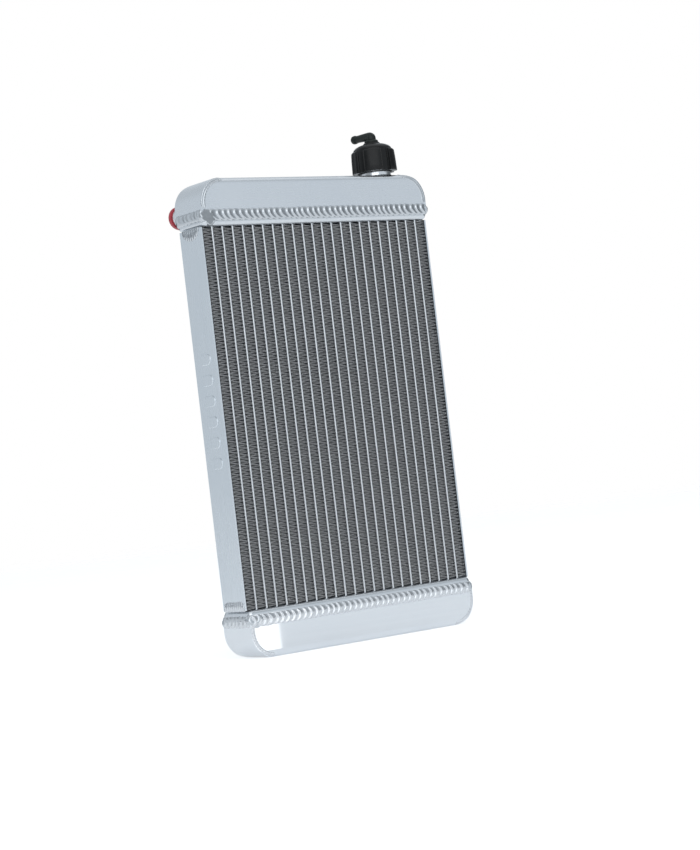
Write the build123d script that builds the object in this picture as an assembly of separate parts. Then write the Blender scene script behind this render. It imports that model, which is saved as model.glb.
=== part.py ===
from build123d import *
import math
import os

# Racing-kart radiator: a brazed tube-and-fin core between two welded sheet tanks.
# Row frame: +Z up, the cap at the top; -Y is the front, which meets the air;
# +X is the cap's end. The origin is the centre of the flat foot of the bottom tank.

# ---- Driving dimensions, mm ----
TUBE_COUNT = 22
TUBE_PITCH = 10.0  # 8 mm fin plus 2 mm tube
TUBE_THICK = 2.0
TUBE_WALL = 0.35
CORE_DEPTH = 32.0
CORE_HEIGHT = 312.0  # between the two header plates
TANK_HEIGHT = 40.0  # from a header plate's core side to the tank's far face
TANK_DEPTH = 40.0
SHEET = 2.0  # tanks and header plates
CORNER_R = 22.0  # rounded ends of the tanks, seen from the front

# ---- Core ----
FIN_WAVE = 3.0  # one full corrugation
FIN_CREST = 0.5  # flat stretch brazed to the tube
FIN_THICK = 0.15
FIN_END_GAP = 1.0
SIDE_THICK = 1.5
TUBE_PAST_HEADER = 2.0  # how far a tube stands into the tank
SLOT_GAP = 0.05  # brazing gap round a tube in its slot
PAD_COUNT, PAD_SPACING = 6, 17.0  # pressed stiffening pads on each side plate
PAD_LENGTH, PAD_WIDTH, PAD_PROUD = 17.0, 9.0, 0.6
PAD_MIDDLE_Z = 203.0

# ---- Headers, tanks and their welds ----
OVERHANG = 1.0  # header plate past the core, each end
FLANGE = 7.0  # height of the header plate's turned-up edge
HEADER_BEND = 4.0
HEADER_CORNER = 4.5
TANK_BEND = 6.0
BEAD_WIDTH, BEAD_PROUD = 9.0, 2.2
BEAD_MIDDLE = 9.0  # above the header plate's core side
SEAM_WIDTH, SEAM_PROUD = 3.0, 1.0
SIDE_WELD_HALF, SIDE_WELD_DROP, SIDE_WELD_PROUD = 12.5, 8.0, 1.8

# ---- Hose stubs and their shipping plugs ----
STUB_X = 97.0
STUB_RISE = 16.5  # above the header plate's core side
STUB_R, STUB_BORE_R = 8.5, 7.0
STUB_END = 42.0  # Y of the open end
STUB_FOOT_R, STUB_FOOT_END = 9.0, 23.0  # the thicker foot that the weld holds
STUB_WELD_R, STUB_WELD_PROUD = 11.5, 2.0
PLUG_HEAD_R, PLUG_HEAD_THICK = 9.75, 4.5
PLUG_R, PLUG_TIP_R, PLUG_DEPTH = 6.95, 6.4, 12.0
PLUG_HOLLOW_R = 5.0

# ---- Mounting bosses, M8 ----
BOSS_X, BOSS_RISE = 60.0, 23.5
BOSS_R, BOSS_LENGTH = 8.0, 10.0
BOSS_HOLE_R, BOSS_HOLE_DEPTH = 3.4, 8.5
BOSS_WELD_R, BOSS_WELD_PROUD = 10.0, 1.8

# ---- Filler neck, cap, valves and overflow elbow ----
NECK_X = 80.0
NECK_R, NECK_THREAD_R, NECK_BORE_R, SEAT_BORE_R = 13.6, 14.6, 11.0, 9.0
NECK_HEIGHT, SEAT_HEIGHT = 21.5, 12.0  # above the tank's top
NECK_WELD_R, NECK_WELD_PROUD = 15.4, 1.6
CAP_GAP = 4.5  # tank top to the skirt's lower edge
CAP_HEIGHT = 25.0  # skirt's lower edge to the top of the dome
CAP_BODY_R, CAP_LOBE_R, CAP_LOBE_TOP_R, CAP_BORE_R = 17.5, 19.5, 18.9, 15.0
CAP_LOBES, LOBE_SPAN, LOBE_AZIMUTH = 5, 46.0, -129.5
LOBE_HEIGHT = 19.3
ELBOW_AZIMUTH = 103.0
ELBOW_REACH = 20.5  # cap axis to the barb's tip
ELBOW_R, BARB_R, SPIGOT_R, SPIGOT_HOLE_R = 3.2, 3.7, 3.55, 3.6

CORE_HALF = (TUBE_COUNT + 1) * TUBE_PITCH / 2
TANK_HALF = CORE_HALF + OVERHANG
DEPTH_HALF = TANK_DEPTH / 2
LOWER_Z = TANK_HEIGHT  # core side of the bottom header plate
UPPER_Z = TANK_HEIGHT + CORE_HEIGHT  # core side of the top header plate
TOP_Z = UPPER_Z + TANK_HEIGHT
CORNER_X, CORNER_Z = TANK_HALF - CORNER_R, TANK_HEIGHT - CORNER_R
BOTTOM_CENTRE = (Align.CENTER, Align.CENTER, Align.MIN)


def box(low, high):
    """A box between two corners."""
    size = [h - l for l, h in zip(low, high)]
    return Pos(*low) * Box(*size, align=(Align.MIN, Align.MIN, Align.MIN))


def turned(points, x=0.0, z=0.0):
    """A solid of revolution about a vertical axis, from (radius, height) points."""
    outline = Polyline(*[(r, h) for r, h in points], close=True)
    face = make_face(Plane.XZ * outline)
    return Pos(x, 0, z) * revolve(face, Axis.Z)


def turned_back(points, x, z):
    """A solid of revolution about an axis along +Y, from (radius, y) points."""
    lying = Rot(-90, 0, 0) * turned(points)
    return Pos(x, 0, z) * lying


def front_outline(half, corner, top, foot):
    """The outline of a tank seen from the front, as a face in the XZ plane:
    upright ends and rounded far corners, all measured from the core side."""
    left, right = -CORNER_X, CORNER_X
    diagonal = corner * math.sqrt(0.5)
    line = Polyline((-half, CORNER_Z), (-half, foot), (half, foot), (half, CORNER_Z))
    right_arc = ThreePointArc(
        (half, CORNER_Z),
        (right + diagonal, CORNER_Z + diagonal),
        (right, CORNER_Z + corner),
    )
    left_arc = ThreePointArc(
        (left, CORNER_Z + corner),
        (left - diagonal, CORNER_Z + diagonal),
        (-half, CORNER_Z),
    )
    edges = [line, right_arc, left_arc]
    rim = CORNER_Z + corner
    if top > rim:
        edges.append(Polyline((right, rim), (right, top), (left, top), (left, rim)))
    else:
        edges.append(Line((right, rim), (left, rim)))
    return make_face([Plane.XZ * edge for edge in edges])


# ---- Tank frame: the header plate's core side is z = 0 and the tank rises above it ----


def header_pan(inset):
    """The header plate's outer skin, or its inner one when inset by the sheet."""
    length, depth = 2 * (TANK_HALF - inset), TANK_DEPTH - 2 * inset
    pan = Pos(0, 0, inset) * Box(length, depth, FLANGE, align=BOTTOM_CENTRE)
    pan = fillet(pan.edges().filter_by(Axis.Z), HEADER_CORNER - inset)
    return fillet(pan.edges().group_by(Axis.Z)[0], HEADER_BEND - inset)


def tube_x(index):
    return (index + 1) * TUBE_PITCH - CORE_HALF


def header_plate():
    """A pressed pan with one slot for each tube."""
    pan = header_pan(0) - header_pan(SHEET)
    slot = SlotOverall(CORE_DEPTH + 2 * SLOT_GAP, TUBE_THICK + 2 * SLOT_GAP, rotation=90)
    cutter = extrude(Pos(0, 0, -SHEET) * slot, 3 * SHEET)
    for index in range(TUBE_COUNT):
        pan -= Pos(tube_x(index), 0, 0) * cutter
    return pan


def tank_shell(stub_x, neck_hole):
    """Front, far and back walls bent from one sheet, with its holes."""
    outer = box((-TANK_HALF, -DEPTH_HALF, FLANGE), (TANK_HALF, DEPTH_HALF, TANK_HEIGHT))
    inner = box(
        (-TANK_HALF, SHEET - DEPTH_HALF, FLANGE),
        (TANK_HALF, DEPTH_HALF - SHEET, TANK_HEIGHT - SHEET),
    )
    outer = fillet(outer.edges().filter_by(Axis.X).group_by(Axis.Z)[-1], TANK_BEND)
    inner = fillet(inner.edges().filter_by(Axis.X).group_by(Axis.Z)[-1], TANK_BEND - SHEET)
    outline = front_outline(TANK_HALF - SHEET, CORNER_R - SHEET, TANK_HEIGHT, FLANGE)
    shell = (outer - inner) & extrude(outline, DEPTH_HALF, both=True)
    stub_hole = Cylinder(STUB_FOOT_R + SLOT_GAP, 4 * SHEET, rotation=(90, 0, 0))
    shell -= Pos(stub_x, DEPTH_HALF, STUB_RISE) * stub_hole
    if neck_hole:
        shell -= Pos(NECK_X, 0, TANK_HEIGHT) * Cylinder(NECK_BORE_R, 4 * SHEET)
    return shell


def tank_end(side):
    """The strip that closes one end and curves over to meet the far wall."""
    outer = front_outline(TANK_HALF, CORNER_R, TANK_HEIGHT, FLANGE)
    inner = front_outline(TANK_HALF - SHEET, CORNER_R - SHEET, 0, FLANGE)
    hoop = extrude(outer, DEPTH_HALF, both=True) - extrude(inner, TANK_DEPTH, both=True)
    plan = Pos((CORNER_X + TANK_HALF) / 2, 0, 0) * Box(
        CORNER_R, TANK_DEPTH, TANK_HEIGHT, align=BOTTOM_CENTRE
    )
    meeting = plan.edges().filter_by(Axis.Z).group_by(Axis.X)[0]
    strip = hoop & fillet(meeting, TANK_BEND)
    return strip if side > 0 else mirror(strip, Plane.YZ)


def header_weld(stub_x):
    """The bead all round the joint between a header plate and its tank."""
    low = BEAD_MIDDLE - BEAD_WIDTH / 2
    ring = Box(
        2 * (TANK_HALF + BEAD_PROUD),
        TANK_DEPTH + 2 * BEAD_PROUD,
        BEAD_WIDTH,
        align=BOTTOM_CENTRE,
    )
    ring = fillet(ring.edges().filter_by(Axis.Z), HEADER_CORNER)
    ends = ring.edges().group_by(Axis.Z)
    ring = fillet(ends[0] + ends[-1], BEAD_PROUD - 0.2)
    ring -= Box(2 * TANK_HALF, TANK_DEPTH, BEAD_WIDTH, align=BOTTOM_CENTRE)
    ring = Pos(0, 0, low) * ring
    round_stub = Cylinder(STUB_WELD_R, TANK_DEPTH, rotation=(90, 0, 0))
    return ring - Pos(stub_x, TANK_DEPTH, STUB_RISE) * round_stub


def seam_weld():
    """The four beads where the end strips meet the front and back walls."""
    start = BEAD_MIDDLE + BEAD_WIDTH / 2
    outer_r = CORNER_R - 0.2
    inner_r = outer_r - SEAM_WIDTH
    stop = math.asin((TANK_HEIGHT - TANK_BEND - CORNER_Z) / outer_r)

    def at(radius, angle):
        return CORNER_X + radius * math.cos(angle), CORNER_Z + radius * math.sin(angle)

    edges = [
        Line(at(outer_r, 0), (CORNER_X + outer_r, start)),
        Line((CORNER_X + outer_r, start), (CORNER_X + inner_r, start)),
        Line((CORNER_X + inner_r, start), at(inner_r, 0)),
        ThreePointArc(at(inner_r, 0), at(inner_r, stop / 2), at(inner_r, stop)),
        Line(at(inner_r, stop), at(outer_r, stop)),
        ThreePointArc(at(outer_r, stop), at(outer_r, stop / 2), at(outer_r, 0)),
    ]
    face = make_face([Plane.XZ * edge for edge in edges])
    front = Pos(0, -DEPTH_HALF, 0) * extrude(face, SEAM_PROUD, dir=(0, -1, 0))
    right = [front, mirror(front, Plane.XZ)]
    return right + [mirror(bead, Plane.YZ) for bead in right]


def side_weld():
    """The bead under one end of a header plate, on the side plate's outer face."""
    top = BEAD_MIDDLE - BEAD_WIDTH / 2
    plate_face = CORE_HALF + SIDE_THICK
    half_moon = Plane.YZ * Ellipse(SIDE_WELD_HALF, SIDE_WELD_DROP)
    drop = Pos(plate_face, 0, 0) * extrude(half_moon, SIDE_WELD_PROUD)
    drop &= box((0, -TANK_DEPTH, -TANK_HEIGHT), (2 * TANK_HALF, TANK_DEPTH, 0))
    throat = box(
        (CORE_HALF, -SIDE_WELD_HALF, 0),
        (plate_face + SIDE_WELD_PROUD, SIDE_WELD_HALF, top),
    )
    return drop + (throat - header_pan(0))


def stub(x):
    """A hose stub through the tank's back wall, with a thicker foot."""
    chamfer_size = 0.5
    inside = DEPTH_HALF - SHEET - 1.0
    return turned_back(
        [
            (STUB_BORE_R, inside),
            (STUB_FOOT_R, inside),
            (STUB_FOOT_R, STUB_FOOT_END),
            (STUB_R, STUB_FOOT_END),
            (STUB_R, STUB_END - chamfer_size),
            (STUB_R - chamfer_size, STUB_END),
            (STUB_BORE_R, STUB_END),
        ],
        x,
        STUB_RISE,
    )


def ring_weld(inner_r, outer_r, proud, x, rise):
    """A fillet weld round something that stands on the tank's back wall."""
    middle = (inner_r + outer_r) / 2
    return turned_back(
        [
            (inner_r, DEPTH_HALF),
            (outer_r, DEPTH_HALF),
            (middle + 0.3, DEPTH_HALF + proud * 0.7),
            (inner_r, DEPTH_HALF + proud),
        ],
        x,
        rise,
    )


def boss(x):
    """A mounting boss with a blind M8 thread, drawn at its core diameter."""
    end = DEPTH_HALF + BOSS_LENGTH
    return turned_back(
        [
            (0, DEPTH_HALF),
            (BOSS_R, DEPTH_HALF),
            (BOSS_R, end - 0.6),
            (BOSS_R - 0.6, end),
            (BOSS_HOLE_R, end),
            (BOSS_HOLE_R, end - BOSS_HOLE_DEPTH),
            (0, end - BOSS_HOLE_DEPTH),
        ],
        x,
        BOSS_RISE,
    )


def plug(x):
    """A hollow push-in plug that closes a hose stub until it is fitted."""
    head = STUB_END + PLUG_HEAD_THICK
    edge = 1.2
    tip = STUB_END - PLUG_DEPTH
    return turned_back(
        [
            (0, tip),
            (PLUG_TIP_R - 0.6, tip),
            (PLUG_TIP_R, tip + 0.6),
            (PLUG_R, STUB_END - 2.0),
            (PLUG_R, STUB_END),
            (PLUG_HEAD_R - 0.4, STUB_END),
            (PLUG_HEAD_R, STUB_END + 0.4),
            (PLUG_HEAD_R, head - edge),
            (PLUG_HEAD_R - edge * 0.3, head - edge * 0.3),
            (PLUG_HEAD_R - edge, head),
            (PLUG_HOLLOW_R, head),
            (PLUG_HOLLOW_R - 0.4, tip + SHEET),
            (0, tip + SHEET),
        ],
        x,
        STUB_RISE,
    )


# ---- Core ----


def tube():
    """A flat tube with round edges and one web down its middle."""
    outer = SlotOverall(CORE_DEPTH, TUBE_THICK, rotation=90)
    inner_thick = TUBE_THICK - 2 * TUBE_WALL
    inner = SlotOverall(CORE_DEPTH - 2 * TUBE_WALL, inner_thick, rotation=90)
    section = outer - (inner - Rectangle(inner_thick, TUBE_WALL))
    reach = SHEET + TUBE_PAST_HEADER
    return Pos(0, 0, LOWER_Z - reach) * extrude(section, CORE_HEIGHT + 2 * reach)


def fin_strip():
    """One corrugated strip, which fills the gap between two tubes."""
    half_gap = (TUBE_PITCH - TUBE_THICK) / 2 - FIN_THICK / 2
    half_wave = FIN_WAVE / 2
    count = int((CORE_HEIGHT - 2 * FIN_END_GAP) / half_wave)
    middle = []
    for index in range(count):
        side = half_gap if index % 2 else -half_gap
        low = index * half_wave
        middle += [(side, low), (side, low + FIN_CREST)]

    def mitre(before, here, after, thickness):
        """The offset at a corner that keeps both stretches one thickness wide."""
        normals = []
        for a, b in ((before, here), (here, after)):
            length = math.dist(a, b)
            normals.append(((a[1] - b[1]) / length, (b[0] - a[0]) / length))
        (ax, az), (bx, bz) = normals
        scale = thickness / 2 / (1 + ax * bx + az * bz)
        return (ax + bx) * scale, (az + bz) * scale

    one_face, other_face = [], []
    last = len(middle) - 1
    for index, here in enumerate(middle):
        before = middle[index - 1] if index else (here[0], here[1] - 1)
        after = middle[index + 1] if index < last else (here[0], here[1] + 1)
        dx, dz = mitre(before, here, after, FIN_THICK)
        one_face.append((here[0] + dx, here[1] + dz))
        other_face.append((here[0] - dx, here[1] - dz))
    outline = Polyline(*one_face, *reversed(other_face), close=True)
    strip = extrude(make_face(Plane.XZ * outline), CORE_DEPTH / 2, both=True)
    return Pos(0, 0, LOWER_Z + FIN_END_GAP) * strip


def cooling_fins():
    strip = fin_strip()
    step = 0.4  # the strips were never all pushed home alike
    return [
        Pos(tube_x(index) - TUBE_PITCH / 2, 0, step * (index % 3 - 1)) * strip
        for index in range(TUBE_COUNT + 1)
    ]


def side_plate(side):
    """The plate that closes one side of the core, with pressed pads for stiffness."""
    inner, outer = CORE_HALF, CORE_HALF + SIDE_THICK
    plate = box((inner, -CORE_DEPTH / 2, LOWER_Z), (outer, CORE_DEPTH / 2, UPPER_Z))
    pad = extrude(Plane.YZ * SlotOverall(PAD_LENGTH, PAD_WIDTH), PAD_PROUD)
    pad = chamfer(pad.edges().group_by(Axis.X)[-1], PAD_PROUD * 0.7)
    first = PAD_MIDDLE_Z - PAD_SPACING * (PAD_COUNT - 1) / 2
    for index in range(PAD_COUNT):
        plate += Pos(outer, 0, first + PAD_SPACING * index) * pad
    return plate if side > 0 else mirror(plate, Plane.YZ)


# ---- Filler neck and cap. Heights are measured from the tank's top ----


def filler_neck():
    """A turned neck with the valve's seat inside and the cap's thread outside."""
    thread_low, thread_high = 6.0, 19.0
    return turned(
        [
            (SEAT_BORE_R, -SHEET),
            (NECK_BORE_R - SLOT_GAP, -SHEET),
            (NECK_BORE_R - SLOT_GAP, 0),
            (NECK_R, 0),
            (NECK_R, thread_low - 1),
            (NECK_THREAD_R, thread_low),
            (NECK_THREAD_R, thread_high),
            (NECK_R, thread_high + 1),
            (NECK_R, NECK_HEIGHT),
            (NECK_BORE_R, NECK_HEIGHT),
            (NECK_BORE_R, SEAT_HEIGHT),
            (SEAT_BORE_R, SEAT_HEIGHT),
        ],
        NECK_X,
        TOP_Z,
    )


def filler_neck_weld():
    return turned(
        [(NECK_R, 0), (NECK_WELD_R, 0), (NECK_R + 0.9, 1.1), (NECK_R, NECK_WELD_PROUD)],
        NECK_X,
        TOP_Z,
    )


def cap_shell():
    """The screw cap: domed, with five wide grip lobes and a boss for the elbow."""
    dome = CAP_HEIGHT
    ceiling = NECK_HEIGHT + 3.5 - CAP_GAP
    body = turned(
        [
            (CAP_BORE_R, 0),
            (CAP_BODY_R, 0),
            (CAP_BODY_R - 0.3, LOBE_HEIGHT - 1.0),
            (CAP_BODY_R - 1.0, LOBE_HEIGHT + 1.4),
            (CAP_BODY_R - 2.6, LOBE_HEIGHT + 3.2),
            (CAP_BODY_R - 5.0, dome - 1.4),
            (CAP_BODY_R - 8.0, dome - 0.4),
            (7.4, dome),
            (6.9, dome + 1.3),
            (SPIGOT_HOLE_R, dome + 1.3),
            (SPIGOT_HOLE_R, ceiling),
            (CAP_BORE_R, ceiling),
        ]
    )
    lobes = Cone(CAP_LOBE_R, CAP_LOBE_TOP_R, LOBE_HEIGHT, align=BOTTOM_CENTRE)
    lobes = chamfer(lobes.edges().group_by(Axis.Z)[-1], 0.7)
    lobes -= Cylinder(CAP_BODY_R - 1.0, LOBE_HEIGHT, align=BOTTOM_CENTRE)
    reach = 2 * CAP_LOBE_R
    half = math.radians(LOBE_SPAN / 2)
    wedge = Polyline(
        (0, 0),
        (reach * math.cos(half), -reach * math.sin(half)),
        (reach * math.cos(half), reach * math.sin(half)),
        close=True,
    )
    lobe = lobes & extrude(make_face(wedge), LOBE_HEIGHT)
    for index in range(CAP_LOBES):
        body += Rot(0, 0, LOBE_AZIMUTH + index * 360 / CAP_LOBES) * lobe
    return Pos(NECK_X, 0, TOP_Z + CAP_GAP) * body


VALVE_GAP = 0.05
SEAL_TOP = SEAT_HEIGHT + VALVE_GAP + 2.0
PLATE_TOP = SEAL_TOP + 1.55
INSERT_LOW, INSERT_TOP = NECK_HEIGHT + 2.1, NECK_HEIGHT + 3.3


def cap_insert():
    """The part of the cap that doesn't turn: spring housing and seal carrier."""
    return turned(
        [
            (SPIGOT_R, INSERT_LOW),
            (8.9, INSERT_LOW),
            (8.9, SEAL_TOP + 4.95),
            (9.9, SEAL_TOP + 4.95),
            (9.9, INSERT_LOW),
            (14.5, INSERT_LOW),
            (14.5, INSERT_TOP),
            (SPIGOT_R, INSERT_TOP),
        ],
        NECK_X,
        TOP_Z,
    )


def cap_seal():
    low = NECK_HEIGHT + VALVE_GAP
    return turned(
        [(11.2, low), (14.2, low), (14.2, INSERT_LOW), (11.2, INSERT_LOW)], NECK_X, TOP_Z
    )


def coil(radius, wire, low, high, turns):
    """A compression spring between two heights above the tank's top."""
    height = high - low - wire
    path = Helix(pitch=height / turns, height=height, radius=radius)
    section = Plane(path @ 0, z_dir=path % 0) * Circle(wire / 2)
    return Pos(NECK_X, 0, TOP_Z + low + wire / 2) * sweep(section, path=path)


STEM_R, STEM_HOLE_R = 1.4, 1.5
STEM_HEAD_LOW = PLATE_TOP + 2.9


def valve_seal():
    low = SEAT_HEIGHT + VALVE_GAP
    return turned(
        [(STEM_HOLE_R, low), (10.3, low), (10.3, SEAL_TOP), (STEM_HOLE_R, SEAL_TOP)],
        NECK_X,
        TOP_Z,
    )


def valve_plate():
    return turned(
        [
            (STEM_HOLE_R, SEAL_TOP),
            (10.0, SEAL_TOP),
            (10.0, PLATE_TOP - 0.3),
            (9.7, PLATE_TOP),
            (STEM_HOLE_R, PLATE_TOP),
        ],
        NECK_X,
        TOP_Z,
    )


def vacuum_valve():
    """The small disc under the seal, on a stem through the plate."""
    disc_top = SEAT_HEIGHT
    return turned(
        [
            (0, disc_top - 1.1),
            (3.6, disc_top - 1.1),
            (4.0, disc_top - 0.7),
            (4.0, disc_top),
            (STEM_R, disc_top),
            (STEM_R, STEM_HEAD_LOW),
            (2.9, STEM_HEAD_LOW),
            (2.9, STEM_HEAD_LOW + 0.8),
            (0, STEM_HEAD_LOW + 0.8),
        ],
        NECK_X,
        TOP_Z,
    )


ELBOW_FOOT = CAP_GAP + CAP_HEIGHT + 1.4
ARM_Z = ELBOW_FOOT + 5.9
GROOVE_Z = CAP_GAP + CAP_HEIGHT - 2.0
O_RING_R = 0.55


def overflow_elbow():
    """The swivelling overflow nipple: spigot, collar, round corner and barbed arm."""
    spigot_low = NECK_HEIGHT + 3.6
    spigot = turned(
        [
            (0, spigot_low),
            (SPIGOT_R, spigot_low),
            (SPIGOT_R, GROOVE_Z - O_RING_R),
            (2.4, GROOVE_Z - O_RING_R),
            (2.4, GROOVE_Z + O_RING_R),
            (SPIGOT_R, GROOVE_Z + O_RING_R),
            (SPIGOT_R, ELBOW_FOOT),
            (6.0, ELBOW_FOOT),
            (6.0, ELBOW_FOOT + 1.4),
            (5.3, ELBOW_FOOT + 2.4),
            (ELBOW_R + 0.4, ELBOW_FOOT + 2.6),
            (ELBOW_R + 0.2, ARM_Z),
            (0, ARM_Z),
        ]
    )
    corner = Pos(0, 0, ARM_Z) * Sphere(ELBOW_R + 0.2)
    arm = turned(
        [
            (0, 0),
            (ELBOW_R, 0),
            (ELBOW_R - 0.3, ELBOW_REACH - 4.6),
            (BARB_R, ELBOW_REACH - 3.6),
            (BARB_R, ELBOW_REACH - 1.4),
            (BARB_R - 0.9, ELBOW_REACH),
            (0, ELBOW_REACH),
        ]
    )
    lie = Pos(0, 0, ARM_Z) * Rot(0, 90, 0)
    elbow = spigot + corner + lie * arm
    drop = ARM_Z - spigot_low
    elbow -= Pos(0, 0, spigot_low) * Cylinder(1.3, drop, align=BOTTOM_CENTRE)
    elbow -= lie * Cylinder(1.6, ELBOW_REACH, align=BOTTOM_CENTRE)
    return Pos(NECK_X, 0, TOP_Z) * Rot(0, 0, ELBOW_AZIMUTH) * elbow


def elbow_o_ring():
    return Pos(NECK_X, 0, TOP_Z + GROOVE_Z) * Torus(2.4 + O_RING_R, O_RING_R)


# ---- Assembly ----


def on_top(part):
    return Pos(0, 0, UPPER_Z) * part


def on_bottom(part):
    """The bottom tank is the top one upside down, below the core."""
    return Pos(0, 0, LOWER_Z) * mirror(part, Plane.XY)


def both_ends(make):
    return [on_top(make), on_bottom(make)]


def write(name, *solids):
    shape = solids[0] if len(solids) == 1 else Compound(children=list(solids))
    export_step(shape, os.path.join("parts", name + ".step"))


os.makedirs("parts", exist_ok=True)
INLET_X, OUTLET_X = -STUB_X, STUB_X

plate = header_plate()
for name, place, stub_x in (("top", on_top, INLET_X), ("bottom", on_bottom, OUTLET_X)):
    write(f"{name}_header_plate", place(plate))
    shell = tank_shell(stub_x, name == "top")
    write(f"{name}_tank_shell", place(shell))
    write(f"{name}_tank_left_end", place(tank_end(-1)))
    write(f"{name}_tank_right_end", place(tank_end(1)))
    write(f"{name}_header_weld", place(header_weld(stub_x)))
    write(f"{name}_tank_seam_welds", *[place(bead) for bead in seam_weld()])

one_tube = tube()
for index in range(TUBE_COUNT):
    write(f"coolant_tube_{index + 1:02d}", Pos(tube_x(index), 0, 0) * one_tube)
write("cooling_fins", *cooling_fins())
write("left_side_plate", side_plate(-1))
write("right_side_plate", side_plate(1))
right_weld = side_weld()
write(
    "side_plate_welds",
    *both_ends(right_weld),
    *both_ends(mirror(right_weld, Plane.YZ)),
)

write("inlet_stub", on_top(stub(INLET_X)))
write("outlet_stub", on_bottom(stub(OUTLET_X)))
write(
    "stub_welds",
    on_top(ring_weld(STUB_FOOT_R, STUB_WELD_R, STUB_WELD_PROUD, INLET_X, STUB_RISE)),
    on_bottom(ring_weld(STUB_FOOT_R, STUB_WELD_R, STUB_WELD_PROUD, OUTLET_X, STUB_RISE)),
)
write("inlet_dust_plug", on_top(plug(INLET_X)))
write("outlet_dust_plug", on_bottom(plug(OUTLET_X)))

bosses, boss_welds = [], []
for x in (-BOSS_X, BOSS_X):
    bosses += both_ends(boss(x))
    weld = ring_weld(BOSS_R, BOSS_WELD_R, BOSS_WELD_PROUD, x, BOSS_RISE)
    boss_welds += both_ends(weld)
write("mounting_bosses", *bosses)
write("mounting_boss_welds", *boss_welds)

write("filler_neck", filler_neck())
write("filler_neck_weld", filler_neck_weld())
write("cap_shell", cap_shell())
write("cap_insert", cap_insert())
write("cap_seal", cap_seal())
write("pressure_spring", coil(7.2, 1.2, PLATE_TOP, INSERT_LOW, 4))
write("valve_seal", valve_seal())
write("valve_plate", valve_plate())
write("vacuum_valve", vacuum_valve())
write("vacuum_spring", coil(2.2, 0.4, PLATE_TOP, STEM_HEAD_LOW, 4))
write("overflow_elbow", overflow_elbow())
write("elbow_o_ring", elbow_o_ring())
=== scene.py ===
import math

import bmesh
import bpy
from mathutils import Matrix, Vector, noise


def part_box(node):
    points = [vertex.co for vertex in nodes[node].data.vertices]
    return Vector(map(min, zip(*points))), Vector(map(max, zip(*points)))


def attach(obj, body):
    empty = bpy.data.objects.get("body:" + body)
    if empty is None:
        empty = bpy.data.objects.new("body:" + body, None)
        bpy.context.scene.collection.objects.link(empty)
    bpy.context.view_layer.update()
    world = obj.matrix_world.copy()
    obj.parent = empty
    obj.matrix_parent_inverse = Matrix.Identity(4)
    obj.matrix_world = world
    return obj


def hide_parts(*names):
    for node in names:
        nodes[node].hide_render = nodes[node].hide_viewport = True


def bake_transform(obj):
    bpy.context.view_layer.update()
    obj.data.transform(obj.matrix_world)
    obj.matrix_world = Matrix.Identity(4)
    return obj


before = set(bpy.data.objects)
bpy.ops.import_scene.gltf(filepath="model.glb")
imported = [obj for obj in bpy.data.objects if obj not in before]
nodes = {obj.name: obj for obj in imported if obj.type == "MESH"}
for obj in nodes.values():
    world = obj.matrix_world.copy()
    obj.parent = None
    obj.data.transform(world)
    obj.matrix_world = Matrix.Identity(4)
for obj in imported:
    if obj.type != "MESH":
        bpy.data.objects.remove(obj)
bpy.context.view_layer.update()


# ---- Camera ----
# A short telephoto view from the front left, a little below the middle of
# the core, with the camera tipped so that the radiator leans to its left.
CAMERA_AZIMUTH, CAMERA_ELEVATION, CAMERA_ROLL = -36.47, -1.42, -6.78  # degrees
CAMERA_DISTANCE, CAMERA_RIGHT, CAMERA_UP = 1.858, 0.0187, -0.013  # from the core's middle
CAMERA_LENS = 93.3
core_middle = Vector((0, 0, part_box("top_tank_shell")[1].z / 2))

azimuth, elevation, roll = (
    math.radians(angle) for angle in (CAMERA_AZIMUTH, CAMERA_ELEVATION, CAMERA_ROLL)
)
back = Vector((
    math.sin(azimuth) * math.cos(elevation),
    -math.cos(azimuth) * math.cos(elevation),
    math.sin(elevation),
))
level = Vector((math.cos(azimuth), math.sin(azimuth), 0))
right = Matrix.Rotation(roll, 3, back) @ level
up = back.cross(right)
camera_data = bpy.data.cameras.new("camera")
camera_data.lens = CAMERA_LENS
camera = bpy.data.objects.new("camera", camera_data)
place = core_middle + back * CAMERA_DISTANCE + right * CAMERA_RIGHT + up * CAMERA_UP
aim = Matrix((right, up, back)).transposed().to_4x4()
camera.matrix_world = Matrix.Translation(place) @ aim
bpy.context.scene.collection.objects.link(camera)
bpy.context.scene.camera = camera
bpy.context.scene.view_settings.view_transform = "Standard"


# ---- Studio: light ----
# A white room with two softboxes. The room that the metal mirrors is a little
# darker and bluer than the white behind the radiator, and has darker sides.
def linear(colour):
    """A hex sRGB colour as linear RGBA."""
    parts = [int(colour[i : i + 2], 16) / 255 for i in (0, 2, 4)]
    return [c / 12.92 if c <= 0.04045 else ((c + 0.055) / 1.055) ** 2.4 for c in parts] + [1]


def add(tree, kind, links=None, **settings):
    """Adds a node. links gives its inputs, each a socket or a plain value."""
    node = tree.nodes.new(kind)
    for name, value in settings.items():
        setattr(node, name, value)
    for name, value in (links or {}).items():
        if isinstance(value, bpy.types.NodeSocket):
            tree.links.new(value, node.inputs[name])
        else:
            node.inputs[name].default_value = value
    return node


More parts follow.
